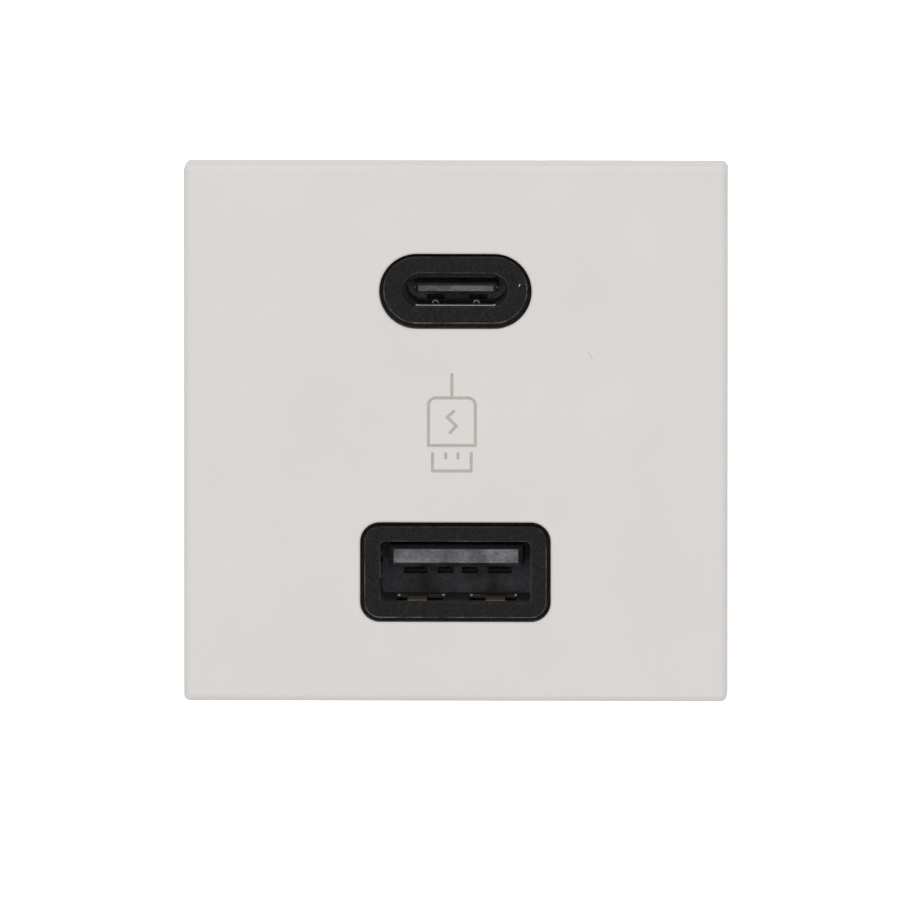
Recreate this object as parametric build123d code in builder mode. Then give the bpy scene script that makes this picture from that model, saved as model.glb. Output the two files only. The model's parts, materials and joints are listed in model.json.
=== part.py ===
"""USB wall socket: a 45 mm square charger module with one USB-C and one USB-A port.

Millimetres. +X to the right of the face, +Y into the wall, +Z up. The origin is the middle of the
plane on which the cover's rim rests against its mounting frame.
"""

import os

from build123d import *

os.makedirs("parts", exist_ok=True)

# Clearances and fits
collar_gap = 0.34
cover_gap = 0.2
lid_gap = 0.15
shell_gap = 0.1
head_gap = 0.2
pilot_gap = 0.03
hole_gap = 0.15
window_gap = 0.15
slide_gap = 0.15
thread_gap = 0.1
end_gap = 0.05

# Cover: face, rim, neck and snap tongues
face_width = 45.0
face_height = 44.6
face_wall = 1.8
face_edge = 0.55
cutout_edge = 0.12
rim_depth = 5.0
neck_wall = 1.3
neck_depth = 8.0
frame_thickness = 2.0
snap_play = 0.1
snap_width = 7.0
snap_pitch = 22.0
snap_slot = 0.8
snap_rise = 0.7
snap_land = 0.5
snap_ramp = 3.8
snap_root = 1.0
catch_width = 8.0
catch_rise = 1.0
catch_start = 4.0
catch_end = 5.8

# Ports: position on the face, cut-outs and mouths
usb_c_row = 11.88
usb_c_cut_drop = 0.11
usb_a_row = -11.56
usb_c_cut_width = 12.64
usb_c_cut_height = 6.25
usb_a_cut_width = 15.8
usb_a_cut_height = 8.3
usb_a_cut_radius = 1.65
collar_recess = 0.1
collar_edge = 0.1
collar_lip = 0.8
usb_c_mouth_width = 8.72
usb_c_mouth_height = 2.8
usb_c_mouth_edge = 0.07
usb_a_mouth_width = 12.44
usb_a_mouth_height = 5.06
usb_a_mouth_radius = 0.4
usb_a_mouth_edge = 0.1
receptacle_length = 10.5
leg_length = 2.4

# Capsule: front lid and rear box
case_side = 39.8
case_corner = 1.5
case_wall = 1.6
case_depth = 29.8
case_rear_wall = 1.8
case_rear_edge = 0.8
rib_wall = 1.0
rib_height = 2.0
relief_depth = 0.8
screw_spacing = 30.4
post_radius = 2.7
well_radius = 3.4
well_floor = 1.6
screw_head_radius = 2.1
screw_head_height = 1.6
screw_head_edge = 0.5
screw_radius = 1.05
screw_length = 8.0
pilot_depth = 7.0
cross_length = 2.6
cross_width = 0.6
cross_depth = 0.9

# Boards
usb_board_width = 24.0
usb_board_height = 35.0
usb_board_thickness = 1.2
main_board_side = 35.8
main_board_thickness = 1.6
board_gap = 3.0
pin_side = 0.64
pin_count = 6
pin_pitch = 2.54
pin_stub = 1.2
header_width = 2.5

# USB-A receptacle
usb_a_width = 12.5
usb_a_height = 5.12
usb_a_sheet = 0.3
usb_a_corner = 0.4
usb_a_cavity = 8.9
usb_a_tongue_width = 11.1
usb_a_tongue_height = 1.84
usb_a_tongue_gap = 0.58
usb_a_tongue_setback = 1.25
usb_a_tongue_nose = 1.4
usb_a_nose_side = 0.39
usb_a_nose_top = 0.25
usb_a_nose_bottom = 0.47
usb_a_outer_pitch = 7.0
usb_a_inner_pitch = 2.0
usb_a_outer_contact = 1.6
usb_a_inner_contact = 0.95
usb_a_contact_sheet = 0.25
usb_a_contact_drop = 0.3
usb_a_contact_tip = 1.6
usb_a_contact_rise = 1.4
usb_a_groove_depth = 0.7
usb_a_pocket_side = 0.18
usb_a_pocket_height = 1.09
usb_a_pocket_depth = 1.0
usb_a_window_width = 3.9
usb_a_window_start = 1.5
usb_a_window_end = 7.3
usb_a_window_pitch = 6.0
usb_a_side_window = 2.4
usb_a_finger_pitch = 6.5
usb_a_finger_width = 1.6
usb_a_side_finger = 1.2
usb_a_finger_sheet = 0.25
usb_a_finger_rise = 0.28
usb_a_finger_tip = 0.6
usb_a_finger_knee = 1.6
usb_a_leg_width = 1.2
usb_a_leg_pitch = 3.0

# USB-C receptacle
usb_c_width = 8.34
usb_c_height = 2.56
usb_c_sheet = 0.25
usb_c_cavity = 6.6
usb_c_tongue_width = 6.69
usb_c_tongue_height = 0.7
usb_c_tongue_setback = 1.1
usb_c_tongue_nose = 0.8
usb_c_nose_side = 0.23
usb_c_nose_edge = 0.12
usb_c_recess_width = 7.0
usb_c_recess_height = 1.25
usb_c_recess_depth = 1.2
usb_c_contact_spots = (-2.75, -1.25, -0.75, -0.25, 0.25, 0.75, 1.25, 2.75)
usb_c_contact_width = 0.25
usb_c_contact_sheet = 0.12
usb_c_contact_setback = 1.2
usb_c_plate_sheet = 0.14
usb_c_plate_side = 0.06
usb_c_plate_setback = 0.9
usb_c_pocket_width = 1.45
usb_c_pocket_height = 0.34
usb_c_pocket_depth = 1.0
usb_c_pocket_pitch = 3.54
usb_c_arch_radius = 0.29
usb_c_arch_sheet = 0.12
usb_c_arch_start = 1.7
usb_c_arch_length = 3.2
usb_c_arch_pitch = 3.4
usb_c_leg_width = 0.9
usb_c_leg_pitch = 4.4

# Terminals: block, captive screws, rising cages and contact bars
pole_pitch = 8.4
block_width = 17.2
block_floor = 1.0
block_roof = 0.8
block_rest = 0.2
terminal_depth = 22.0
driver_radius = 1.7
driver_hole_radius = 1.9
terminal_head_radius = 2.2
terminal_head_height = 1.6
terminal_slot_width = 0.8
terminal_slot_depth = 0.9
terminal_shank_radius = 1.45
cage_width = 5.4
cage_length = 6.0
cage_side_wall = 0.9
cage_near_wall = 1.4
cage_far_wall = 1.1
cage_travel = 2.4
bar_width = 3.2
bar_shoulder_width = 4.4
bar_shoulder_length = 2.6
bar_thickness = 0.9
bar_seat = 1.0
bar_tail_width = 1.2
wire_radius = 1.25
wire_space = 2.6
wire_funnel = 0.7

# Parts on the boards
core_length = 13.2
core_width = 6.2
core_height = 12.0
core_centre_leg = 2.8
core_side_leg = 1.8
core_yoke = 2.0
core_lift = 1.4
core_gap = 0.1
transformer_row = 9.4
bobbin_wall = 0.8
bobbin_flange = 0.9
bobbin_width = 9.2
bobbin_length = 13.0
bobbin_foot = 2.4
winding_width = 8.8
winding_length = 12.0
winding_corner = 1.2
capacitor_radius = 4.0
input_capacitor_height = 13.5
output_capacitor_height = 11.5
capacitor_edge = 0.5
capacitor_column = 12.9
capacitor_row_upper = 6.2
capacitor_row_lower = -2.2
choke_radius = 2.4
choke_core_radius = 1.2
choke_winding_radius = 2.1
choke_flange = 0.9
choke_height = 8.0
choke_column = -3.4
choke_row = -3.1
fuse_width = 8.0
fuse_height = 4.0
fuse_depth = 7.7
fuse_edge = 0.6
fuse_row = -3.4
fuse_gap = 0.3
bridge_width = 4.7
bridge_height = 3.9
bridge_depth = 2.5
bridge_column = 6.0
bridge_row = -6.5
disc_radius = 3.6
disc_thickness = 3.0
disc_edge = 0.9
surge_width = 7.0
surge_thickness = 3.6
surge_depth = 8.5
surge_edge = 0.4
side_part_row = -8.6
side_part_gap = 0.7
lead_side = 0.6
lead_pitch = 5.0
lead_lift = 0.8
switcher_width = 4.9
switcher_height = 3.9
switcher_depth = 1.5
charger_side = 4.0
charger_depth = 0.9
inductor_side = 6.6
inductor_depth = 3.0
inductor_edge = 0.9
chip_edge = 0.15
chip_column = 6.0
chip_row = 4.8

# Stations along the depth
face_front = -rim_depth
collar_front = face_front + collar_recess
lid_front = face_front + face_wall
lid_rear = lid_front + case_wall
port_mouth = collar_front + collar_lip
usb_board_front = port_mouth + receptacle_length
usb_board_rear = usb_board_front + usb_board_thickness
main_board_front = usb_board_rear + board_gap
main_board_rear = main_board_front + main_board_thickness
case_inside = case_depth - case_rear_wall

# Sizes that follow from a fit
neck_inner = case_side + 2 * cover_gap
neck_outer = neck_inner + 2 * neck_wall
neck_corner = case_corner + cover_gap
case_inner = case_side - 2 * case_wall
well_bore = screw_head_radius + head_gap
through_radius = screw_radius + hole_gap + pilot_gap
pole = pole_pitch / 2


def depth(y, z=0.0):
    """The upright plane at depth y, seen from the front, with its middle at height z."""
    return Plane(origin=(0, y, z), x_dir=(1, 0, 0), z_dir=(0, -1, 0))


def upright(x, z=0.0):
    """The upright plane across the face at x: local x runs into the wall and local y runs up."""
    return Plane(origin=(x, 0, z), x_dir=(0, 1, 0), z_dir=(1, 0, 0))


def level(z):
    """The level plane at height z: local x runs right and local y runs into the wall."""
    return Plane.XY.offset(z)


# Cover
with BuildPart() as front_cover:
    with BuildSketch(depth(face_front)):
        Rectangle(face_width, face_height)
    extrude(amount=-rim_depth)
    corner_edges = front_cover.edges().filter_by(Axis.Y)
    fillet(corner_edges + front_cover.faces().sort_by(Axis.Y)[0].edges(), radius=face_edge)
    with BuildSketch(depth(0)):
        RectangleRounded(neck_outer, neck_outer, neck_corner + neck_wall)
    extrude(amount=-neck_depth)
    with BuildSketch(depth(lid_front)):
        RectangleRounded(neck_inner, neck_inner, neck_corner)
    extrude(amount=lid_front - neck_depth, mode=Mode.SUBTRACT)
    with BuildSketch(depth(face_front)):
        with Locations((0, usb_c_row - usb_c_cut_drop)):
            SlotOverall(usb_c_cut_width, usb_c_cut_height)
        with Locations((0, usb_a_row)):
            RectangleRounded(usb_a_cut_width, usb_a_cut_height, usb_a_cut_radius)
    extrude(amount=-face_wall, mode=Mode.SUBTRACT)
    cutout_wires = front_cover.faces().sort_by(Axis.Y)[0].inner_wires()
    chamfer([edge for wire in cutout_wires for edge in wire.edges()], length=cutout_edge)
    with BuildSketch(level(0)):
        with Locations((0, (snap_root + neck_depth) / 2)):
            with GridLocations(snap_pitch, 0, 2, 1):
                with GridLocations(snap_width + snap_slot, 0, 2, 1):
                    Rectangle(snap_slot, neck_depth - snap_root)
    extrude(amount=neck_outer, both=True, mode=Mode.SUBTRACT)
    for snap_x in (-snap_pitch / 2, snap_pitch / 2):
        with BuildSketch(upright(snap_x)):
            with BuildLine():
                snap_face = frame_thickness + snap_play
                snap_foot = (neck_outer - neck_wall) / 2
                Polyline(
                    (snap_face, snap_foot),
                    (snap_face, neck_outer / 2 + snap_rise),
                    (snap_face + snap_land, neck_outer / 2 + snap_rise),
                    (snap_face + snap_land + snap_ramp, neck_outer / 2),
                    (snap_face + snap_land + snap_ramp, snap_foot),
                    close=True,
                )
            make_face()
            mirror(about=Plane.XZ)
        extrude(amount=snap_width / 2, both=True)
    with BuildSketch(upright(0)):
        with Locations(((catch_start + catch_end) / 2, 0)):
            Rectangle(catch_end - catch_start + 2 * snap_play, catch_width + 4 * snap_play)
    extrude(amount=neck_outer, both=True, mode=Mode.SUBTRACT)
front_cover.part.label = "front_cover"
export_step(front_cover.part, "parts/front_cover.step")

# Front lid of the capsule, with the collars that stand in the cover's cut-outs
with BuildPart() as case_front:
    with BuildSketch(depth(lid_front)):
        RectangleRounded(case_side, case_side, case_corner)
    extrude(amount=-case_wall)
    with BuildSketch(depth(collar_front)):
        with Locations((0, usb_c_row)):
            SlotOverall(usb_c_cut_width - 2 * collar_gap, usb_c_cut_height - 2 * collar_gap)
        with Locations((0, usb_a_row)):
            RectangleRounded(
                usb_a_cut_width - 2 * collar_gap,
                usb_a_cut_height - 2 * collar_gap,
                usb_a_cut_radius - collar_gap,
            )
    extrude(amount=collar_front - lid_front)
    chamfer(case_front.faces().group_by(Axis.Y)[0].edges(), length=collar_edge)
    with BuildSketch(depth(port_mouth)):
        with Locations((0, usb_c_row)):
            SlotOverall(
                usb_c_width + 2 * (usb_c_sheet + shell_gap),
                usb_c_height + 2 * (usb_c_sheet + shell_gap),
            )
        with Locations((0, usb_a_row)):
            RectangleRounded(
                usb_a_width + 2 * (usb_a_sheet + shell_gap),
                usb_a_height + 2 * (usb_a_sheet + shell_gap),
                usb_a_corner + usb_a_sheet + shell_gap,
            )
    extrude(amount=port_mouth - lid_rear, mode=Mode.SUBTRACT)
    with BuildSketch(depth(collar_front)):
        with Locations((0, usb_c_row)):
            SlotOverall(usb_c_mouth_width, usb_c_mouth_height)
        with Locations((0, usb_a_row)):
            RectangleRounded(usb_a_mouth_width, usb_a_mouth_height, usb_a_mouth_radius)
    extrude(amount=-collar_lip, mode=Mode.SUBTRACT)
    usb_a_front = case_front.faces().group_by(Axis.Y)[0].sort_by(Axis.Z)[0]
    chamfer(usb_a_front.inner_wires()[0].edges(), length=usb_a_mouth_edge)
    usb_c_front = case_front.faces().group_by(Axis.Y)[0].sort_by(Axis.Z)[-1]
    chamfer(usb_c_front.inner_wires()[0].edges(), length=usb_c_mouth_edge)
    with BuildSketch(depth(lid_rear)):
        rib_outer = case_inner - 2 * lid_gap
        rib_inner = rib_outer - 2 * rib_wall
        Rectangle(rib_outer, rib_outer)
        Rectangle(rib_inner, rib_inner, mode=Mode.SUBTRACT)
    extrude(amount=-rib_height)
    with BuildSketch(depth(lid_rear)):
        with GridLocations(screw_spacing, screw_spacing, 2, 2):
            Circle(post_radius)
    extrude(amount=lid_rear - main_board_front)
    with BuildSketch(depth(main_board_front)):
        with GridLocations(screw_spacing, screw_spacing, 2, 2):
            Circle(screw_radius + pilot_gap)
    extrude(amount=pilot_depth, mode=Mode.SUBTRACT)
case_front.part.label = "case_front"
export_step(case_front.part, "parts/case_front.step")

# Block position, shared by the rear box and the terminals
block_bottom = block_rest - case_inner / 2
head_bottom = block_bottom + block_floor + end_gap
head_top = head_bottom + terminal_head_height
cage_rest = head_top + 2 * end_gap + cage_travel
bar_bottom = cage_rest + cage_near_wall + 2 * end_gap
bar_top = bar_bottom + bar_thickness
wire_height = bar_top + end_gap + wire_radius
cage_roof = bar_top + wire_space
cage_top = cage_roof + cage_far_wall
block_top = cage_top + slide_gap + block_roof
block_height = block_top - block_bottom
block_middle = (block_top + block_bottom) / 2
pocket_end = terminal_depth + cage_length / 2 + slide_gap

# Rear box of the capsule
with BuildPart() as case_rear:
    with BuildSketch(depth(lid_rear)):
        RectangleRounded(case_side, case_side, case_corner)
    extrude(amount=lid_rear - case_depth)
    chamfer(case_rear.faces().sort_by(Axis.Y)[-1].edges(), length=case_rear_edge)
    with BuildSketch(depth(lid_rear)):
        Rectangle(case_inner, case_inner)
    extrude(amount=lid_rear - case_inside, mode=Mode.SUBTRACT)
    with BuildSketch(depth(main_board_rear)):
        with GridLocations(screw_spacing, screw_spacing, 2, 2):
            Circle(well_radius)
        Rectangle(case_side - case_wall, case_side - case_wall, mode=Mode.INTERSECT)
    extrude(amount=main_board_rear - case_inside)
    with BuildSketch(depth(case_depth)):
        with GridLocations(screw_spacing, screw_spacing, 2, 2):
            Circle(well_bore)
    extrude(amount=case_depth - main_board_rear - well_floor, mode=Mode.SUBTRACT)
    with BuildSketch(depth(main_board_rear)):
        with GridLocations(screw_spacing, screw_spacing, 2, 2):
            Circle(through_radius)
    extrude(amount=-well_floor, mode=Mode.SUBTRACT)
    with BuildSketch(depth(case_inside, block_middle)):
        Rectangle(block_width + 2 * window_gap, block_height + 2 * window_gap)
    extrude(amount=-case_rear_wall, mode=Mode.SUBTRACT)
    with BuildSketch(level(-case_side / 2)):
        with Locations((-pole, terminal_depth), (pole, terminal_depth)):
            Circle(driver_hole_radius)
    extrude(amount=case_wall, mode=Mode.SUBTRACT)
    for relief_face, inward in ((case_side / 2, -relief_depth), (-case_side / 2, relief_depth)):
        with BuildSketch(level(relief_face)):
            with GridLocations(snap_pitch, 0, 2, 1):
                with Locations((0, (snap_root + neck_depth + snap_slot) / 2)):
                    Rectangle(snap_width + 2 * snap_slot, neck_depth + snap_slot - snap_root)
        extrude(amount=inward, mode=Mode.SUBTRACT)
    with BuildSketch(level(0)):
        with BuildLine():
            Polyline(
                (case_side / 2, catch_start),
                (case_side / 2 + catch_rise, catch_end),
                ((case_side - case_wall) / 2, catch_end),
                ((case_side - case_wall) / 2, catch_start),
                close=True,
            )
        make_face()
        mirror(about=Plane.YZ)
    extrude(amount=catch_width / 2, both=True)
case_rear.part.label = "case_rear"
export_step(case_rear.part, "parts/case_rear.step")

# Four equal screws that draw the lid and the box together on the main board
with BuildPart() as case_screws:
    screw_seat = main_board_rear + well_floor
    with BuildSketch(depth(screw_seat)):
        with GridLocations(screw_spacing, screw_spacing, 2, 2):
            Circle(screw_head_radius)
    extrude(amount=-screw_head_height)
    head_faces = case_screws.faces().group_by(Axis.Y)[-1]
    chamfer(head_faces.edges(), length=screw_head_edge)
    with BuildSketch(depth(screw_seat)):
        with GridLocations(screw_spacing, screw_spacing, 2, 2):
            Circle(screw_radius)
    extrude(amount=screw_length)
    with BuildSketch(depth(screw_seat + screw_head_height)):
        with GridLocations(screw_spacing, screw_spacing, 2, 2):
            Rectangle(cross_length, cross_width)
            Rectangle(cross_width, cross_length)
    extrude(amount=cross_depth, mode=Mode.SUBTRACT)
case_screws.part.label = "case_screws"
export_step(case_screws.part, "parts/case_screws.step")

# USB-A receptacle: stamped shell with sprung fingers in its four walls
usb_a_outer_width = usb_a_width + 2 * usb_a_sheet
usb_a_outer_height = usb_a_height + 2 * usb_a_sheet
usb_a_window_length = usb_a_window_end - usb_a_window_start
usb_a_window_middle = port_mouth + (usb_a_window_start + usb_a_window_end) / 2
usb_a_finger_root = port_mouth + usb_a_window_end
usb_a_finger_nose = port_mouth + usb_a_window_start + usb_a_finger_tip
usb_a_finger_bend = usb_a_finger_nose + usb_a_finger_knee

with BuildPart() as usb_a_shell:
    with BuildSketch(depth(port_mouth, usb_a_row)):
        RectangleRounded(usb_a_outer_width, usb_a_outer_height, usb_a_corner + usb_a_sheet)
        RectangleRounded(usb_a_width, usb_a_height, usb_a_corner, mode=Mode.SUBTRACT)
    extrude(amount=-receptacle_length)
    with BuildSketch(level(usb_a_row)):
        with Locations((0, usb_a_window_middle)):
            with GridLocations(usb_a_window_pitch, 0, 2, 1):
                Rectangle(usb_a_window_width, usb_a_window_length)
    extrude(amount=usb_a_outer_height, both=True, mode=Mode.SUBTRACT)
    with BuildSketch(upright(0, usb_a_row)):
        with Locations((usb_a_window_middle, 0)):
            Rectangle(usb_a_window_length, usb_a_side_window)
    extrude(amount=usb_a_outer_width, both=True, mode=Mode.SUBTRACT)
    for finger_x in (-usb_a_finger_pitch / 2, usb_a_finger_pitch / 2):
        with BuildSketch(upright(finger_x, usb_a_row)):
            with BuildLine():
                Polyline(
                    (usb_a_finger_root + usb_a_sheet, usb_a_outer_height / 2),
                    (usb_a_finger_root + usb_a_sheet, usb_a_height / 2),
                    (usb_a_finger_root, usb_a_height / 2),
                    (usb_a_finger_bend, usb_a_height / 2 - usb_a_finger_rise),
                    (usb_a_finger_nose, usb_a_height / 2),
                    (usb_a_finger_nose, usb_a_height / 2 + usb_a_finger_sheet),
                    (usb_a_finger_bend, usb_a_height / 2 - usb_a_finger_rise + usb_a_finger_sheet),
                    (usb_a_finger_root, usb_a_outer_height / 2),
                    close=True,
                )
            make_face()
            mirror(about=Plane.XZ)
        extrude(amount=usb_a_finger_width / 2, both=True)
    with BuildSketch(level(usb_a_row)):
        with BuildLine():
            Polyline(
                (usb_a_outer_width / 2, usb_a_finger_root + usb_a_sheet),
                (usb_a_width / 2, usb_a_finger_root + usb_a_sheet),
                (usb_a_width / 2, usb_a_finger_root),
                (usb_a_width / 2 - usb_a_finger_rise / 2, usb_a_finger_bend),
                (usb_a_width / 2, usb_a_finger_nose),
                (usb_a_width / 2 + usb_a_finger_sheet, usb_a_finger_nose),
                (usb_a_width / 2 - usb_a_finger_rise / 2 + usb_a_finger_sheet, usb_a_finger_bend),
                (usb_a_outer_width / 2, usb_a_finger_root),
                close=True,
            )
        make_face()
        mirror(about=Plane.YZ)
    extrude(amount=usb_a_side_finger / 2, both=True)
    with BuildSketch(depth(usb_board_front, usb_a_row)):
        with GridLocations(usb_a_width + usb_a_sheet, usb_a_leg_pitch, 2, 2):
            Rectangle(usb_a_sheet, usb_a_leg_width)
    extrude(amount=-leg_length)
usb_a_shell.part.label = "usb_a_shell"
export_step(usb_a_shell.part, "parts/usb_a_shell.step")

# USB-A insulator: base and tongue in one moulding, with a groove and a pocket for each contact
usb_a_back = port_mouth + usb_a_cavity
usb_a_tongue_front = port_mouth + usb_a_tongue_setback
usb_a_tongue_top = usb_a_height / 2 - usb_a_tongue_gap
usb_a_tongue_bottom = usb_a_tongue_top - usb_a_tongue_height
usb_a_tongue_middle = (usb_a_tongue_top + usb_a_tongue_bottom) / 2
usb_a_nose_height = usb_a_tongue_height - usb_a_nose_top - usb_a_nose_bottom
usb_a_nose_middle = usb_a_tongue_bottom + usb_a_nose_bottom + usb_a_nose_height / 2
usb_a_contact_level = usb_a_tongue_bottom - usb_a_contact_drop
usb_a_contact_bend = usb_a_tongue_front + usb_a_contact_tip + usb_a_contact_rise
usb_a_contacts_wide = ((-usb_a_outer_pitch / 2, 0), (usb_a_outer_pitch / 2, 0))
usb_a_contacts_narrow = ((-usb_a_inner_pitch / 2, 0), (usb_a_inner_pitch / 2, 0))
usb_a_groove_top = usb_a_tongue_bottom + usb_a_groove_depth

with BuildPart() as usb_a_insulator:
    with BuildSketch(depth(usb_a_back, usb_a_row)):
        RectangleRounded(usb_a_width, usb_a_height, usb_a_corner)
    extrude(amount=usb_a_back - usb_board_front)
    with BuildSketch(depth(usb_a_tongue_front, usb_a_row)):
        with Locations((0, usb_a_nose_middle)):
            Rectangle(usb_a_tongue_width - 2 * usb_a_nose_side, usb_a_nose_height)
    with BuildSketch(depth(usb_a_tongue_front + usb_a_tongue_nose, usb_a_row)):
        with Locations((0, usb_a_tongue_middle)):
            Rectangle(usb_a_tongue_width, usb_a_tongue_height)
    loft()
    with BuildSketch(depth(usb_a_tongue_front + usb_a_tongue_nose, usb_a_row)):
        with Locations((0, usb_a_tongue_middle)):
            Rectangle(usb_a_tongue_width, usb_a_tongue_height)
    extrude(amount=usb_a_tongue_front + usb_a_tongue_nose - usb_a_back)
    with BuildSketch(depth(usb_a_tongue_front + usb_a_contact_tip - end_gap, usb_a_row)):
        with Locations((0, (usb_a_groove_top + usb_a_tongue_bottom) / 2)):
            with Locations(usb_a_contacts_wide):
                Rectangle(usb_a_outer_contact + 2 * usb_a_pocket_side, usb_a_groove_depth)
            with Locations(usb_a_contacts_narrow):
                Rectangle(usb_a_inner_contact + 2 * usb_a_pocket_side, usb_a_groove_depth)
    extrude(amount=usb_a_tongue_front + usb_a_contact_tip - end_gap - usb_a_back, mode=Mode.SUBTRACT)
    with BuildSketch(depth(usb_a_back, usb_a_row)):
        with Locations((0, usb_a_tongue_bottom - usb_a_pocket_height / 2)):
            with Locations(usb_a_contacts_wide):
                Rectangle(usb_a_outer_contact + 2 * usb_a_pocket_side, usb_a_pocket_height)
            with Locations(usb_a_contacts_narrow):
                Rectangle(usb_a_inner_contact + 2 * usb_a_pocket_side, usb_a_pocket_height)
    extrude(amount=-usb_a_pocket_depth, mode=Mode.SUBTRACT)
    with BuildSketch(depth(usb_a_back, usb_a_row)):
        with Locations((0, usb_a_contact_level + usb_a_contact_sheet / 2)):
            with Locations(usb_a_contacts_wide):
                Rectangle(usb_a_outer_contact, usb_a_contact_sheet)
            with Locations(usb_a_contacts_narrow):
                Rectangle(usb_a_inner_contact, usb_a_contact_sheet)
    extrude(amount=usb_a_back - usb_board_front, mode=Mode.SUBTRACT)
usb_a_insulator.part.label = "usb_a_insulator"
export_step(usb_a_insulator.part, "parts/usb_a_insulator.step")

# Four USB-A contact springs, each from its tip under the tongue to its tail through the board
with BuildPart() as usb_a_contacts:
    for contact_x, contact_width in (
        (-usb_a_outer_pitch / 2, usb_a_outer_contact),
        (-usb_a_inner_pitch / 2, usb_a_inner_contact),
        (usb_a_inner_pitch / 2, usb_a_inner_contact),
        (usb_a_outer_pitch / 2, usb_a_outer_contact),
    ):
        with BuildSketch(upright(contact_x, usb_a_row)):
            with BuildLine():
                Polyline(
                    (usb_board_rear + pin_stub, usb_a_contact_level),
                    (usb_a_contact_bend, usb_a_contact_level),
                    (usb_a_tongue_front + usb_a_contact_tip, usb_a_tongue_bottom + usb_a_contact_sheet),
                    (usb_a_tongue_front + usb_a_contact_tip, usb_a_groove_top - end_gap),
                    (usb_a_contact_bend, usb_a_contact_level + usb_a_contact_sheet),
                    (usb_board_rear + pin_stub, usb_a_contact_level + usb_a_contact_sheet),
                    close=True,
                )
            make_face()
        extrude(amount=contact_width / 2, both=True)
usb_a_contacts.part.label = "usb_a_contacts"
export_step(usb_a_contacts.part, "parts/usb_a_contacts.step")

# USB-C receptacle: drawn shell with two spring arches pressed up out of its lower wall
usb_c_outer_width = usb_c_width + 2 * usb_c_sheet
usb_c_outer_height = usb_c_height + 2 * usb_c_sheet
usb_c_arch_front = port_mouth + usb_c_arch_start
usb_c_arch_bore = usb_c_arch_radius - usb_c_arch_sheet

with BuildPart() as usb_c_shell:
    with BuildSketch(depth(port_mouth, usb_c_row)):
        SlotOverall(usb_c_outer_width, usb_c_outer_height)
        SlotOverall(usb_c_width, usb_c_height, mode=Mode.SUBTRACT)
    extrude(amount=-receptacle_length)
    with BuildSketch(level(usb_c_row)):
        with Locations((0, usb_c_arch_front + usb_c_arch_length / 2)):
            with GridLocations(usb_c_arch_pitch, 0, 2, 1):
                Rectangle(2 * usb_c_arch_bore, usb_c_arch_length)
    extrude(amount=-usb_c_outer_height, mode=Mode.SUBTRACT)
    with BuildSketch(depth(usb_c_arch_front, usb_c_row)):
        with Locations((0, -usb_c_height / 2)):
            with GridLocations(usb_c_arch_pitch, 0, 2, 1):
                Circle(usb_c_arch_radius)
                Circle(usb_c_arch_bore, mode=Mode.SUBTRACT)
        SlotOverall(usb_c_width, usb_c_height, mode=Mode.INTERSECT)
    extrude(amount=-usb_c_arch_length)
    with BuildSketch(depth(usb_board_front, usb_c_row)):
        with GridLocations(usb_c_leg_pitch, usb_c_height + usb_c_sheet, 2, 2):
            Rectangle(usb_c_leg_width, usb_c_sheet)
    extrude(amount=-leg_length)
usb_c_shell.part.label = "usb_c_shell"
export_step(usb_c_shell.part, "parts/usb_c_shell.step")

# USB-C insulator: base, and the tongue in its recess, with a slot for the plate and for each contact
usb_c_back = port_mouth + usb_c_cavity
usb_c_recess_floor = usb_c_back + usb_c_recess_depth
usb_c_tongue_front = port_mouth + usb_c_tongue_setback
usb_c_nose_end = usb_c_tongue_front + usb_c_tongue_nose
usb_c_contact_start = usb_c_tongue_front + usb_c_contact_setback
usb_c_plate_start = usb_c_tongue_front + usb_c_plate_setback
usb_c_plate_width = usb_c_tongue_width + 2 * usb_c_plate_side
usb_c_contact_level = (usb_c_tongue_height - usb_c_contact_sheet) / 2

with BuildPart() as usb_c_insulator:
    with BuildSketch(depth(usb_c_back, usb_c_row)):
        SlotOverall(usb_c_width, usb_c_height)
    extrude(amount=usb_c_back - usb_board_front)
    with BuildSketch(depth(usb_c_back, usb_c_row)):
        with GridLocations(usb_c_pocket_pitch, usb_c_height - usb_c_pocket_height, 2, 2):
            Rectangle(usb_c_pocket_width, usb_c_pocket_height)
    extrude(amount=-usb_c_pocket_depth, mode=Mode.SUBTRACT)
    with BuildSketch(depth(usb_c_back, usb_c_row)):
        Rectangle(usb_c_recess_width, usb_c_recess_height)
    extrude(amount=-usb_c_recess_depth, mode=Mode.SUBTRACT)
    with BuildSketch(depth(usb_c_tongue_front, usb_c_row)):
        Rectangle(
            usb_c_tongue_width - 2 * usb_c_nose_side,
            usb_c_tongue_height - 2 * usb_c_nose_edge,
        )
    with BuildSketch(depth(usb_c_nose_end, usb_c_row)):
        Rectangle(usb_c_tongue_width, usb_c_tongue_height)
    loft()
    with BuildSketch(depth(usb_c_nose_end, usb_c_row)):
        Rectangle(usb_c_tongue_width, usb_c_tongue_height)
    extrude(amount=usb_c_nose_end - usb_c_recess_floor)
    with BuildSketch(depth(usb_c_contact_start, usb_c_row)):
        for contact_z in (-usb_c_contact_level, usb_c_contact_level):
            with Locations([(contact_x, contact_z) for contact_x in usb_c_contact_spots]):
                Rectangle(usb_c_contact_width, usb_c_contact_sheet)
    extrude(amount=usb_c_contact_start - usb_board_front, mode=Mode.SUBTRACT)
    with BuildSketch(depth(usb_c_plate_start, usb_c_row)):
        Rectangle(usb_c_plate_width, usb_c_plate_sheet)
    extrude(amount=usb_c_plate_start - usb_board_front, mode=Mode.SUBTRACT)
usb_c_insulator.part.label = "usb_c_insulator"
export_step(usb_c_insulator.part, "parts/usb_c_insulator.step")

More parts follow.
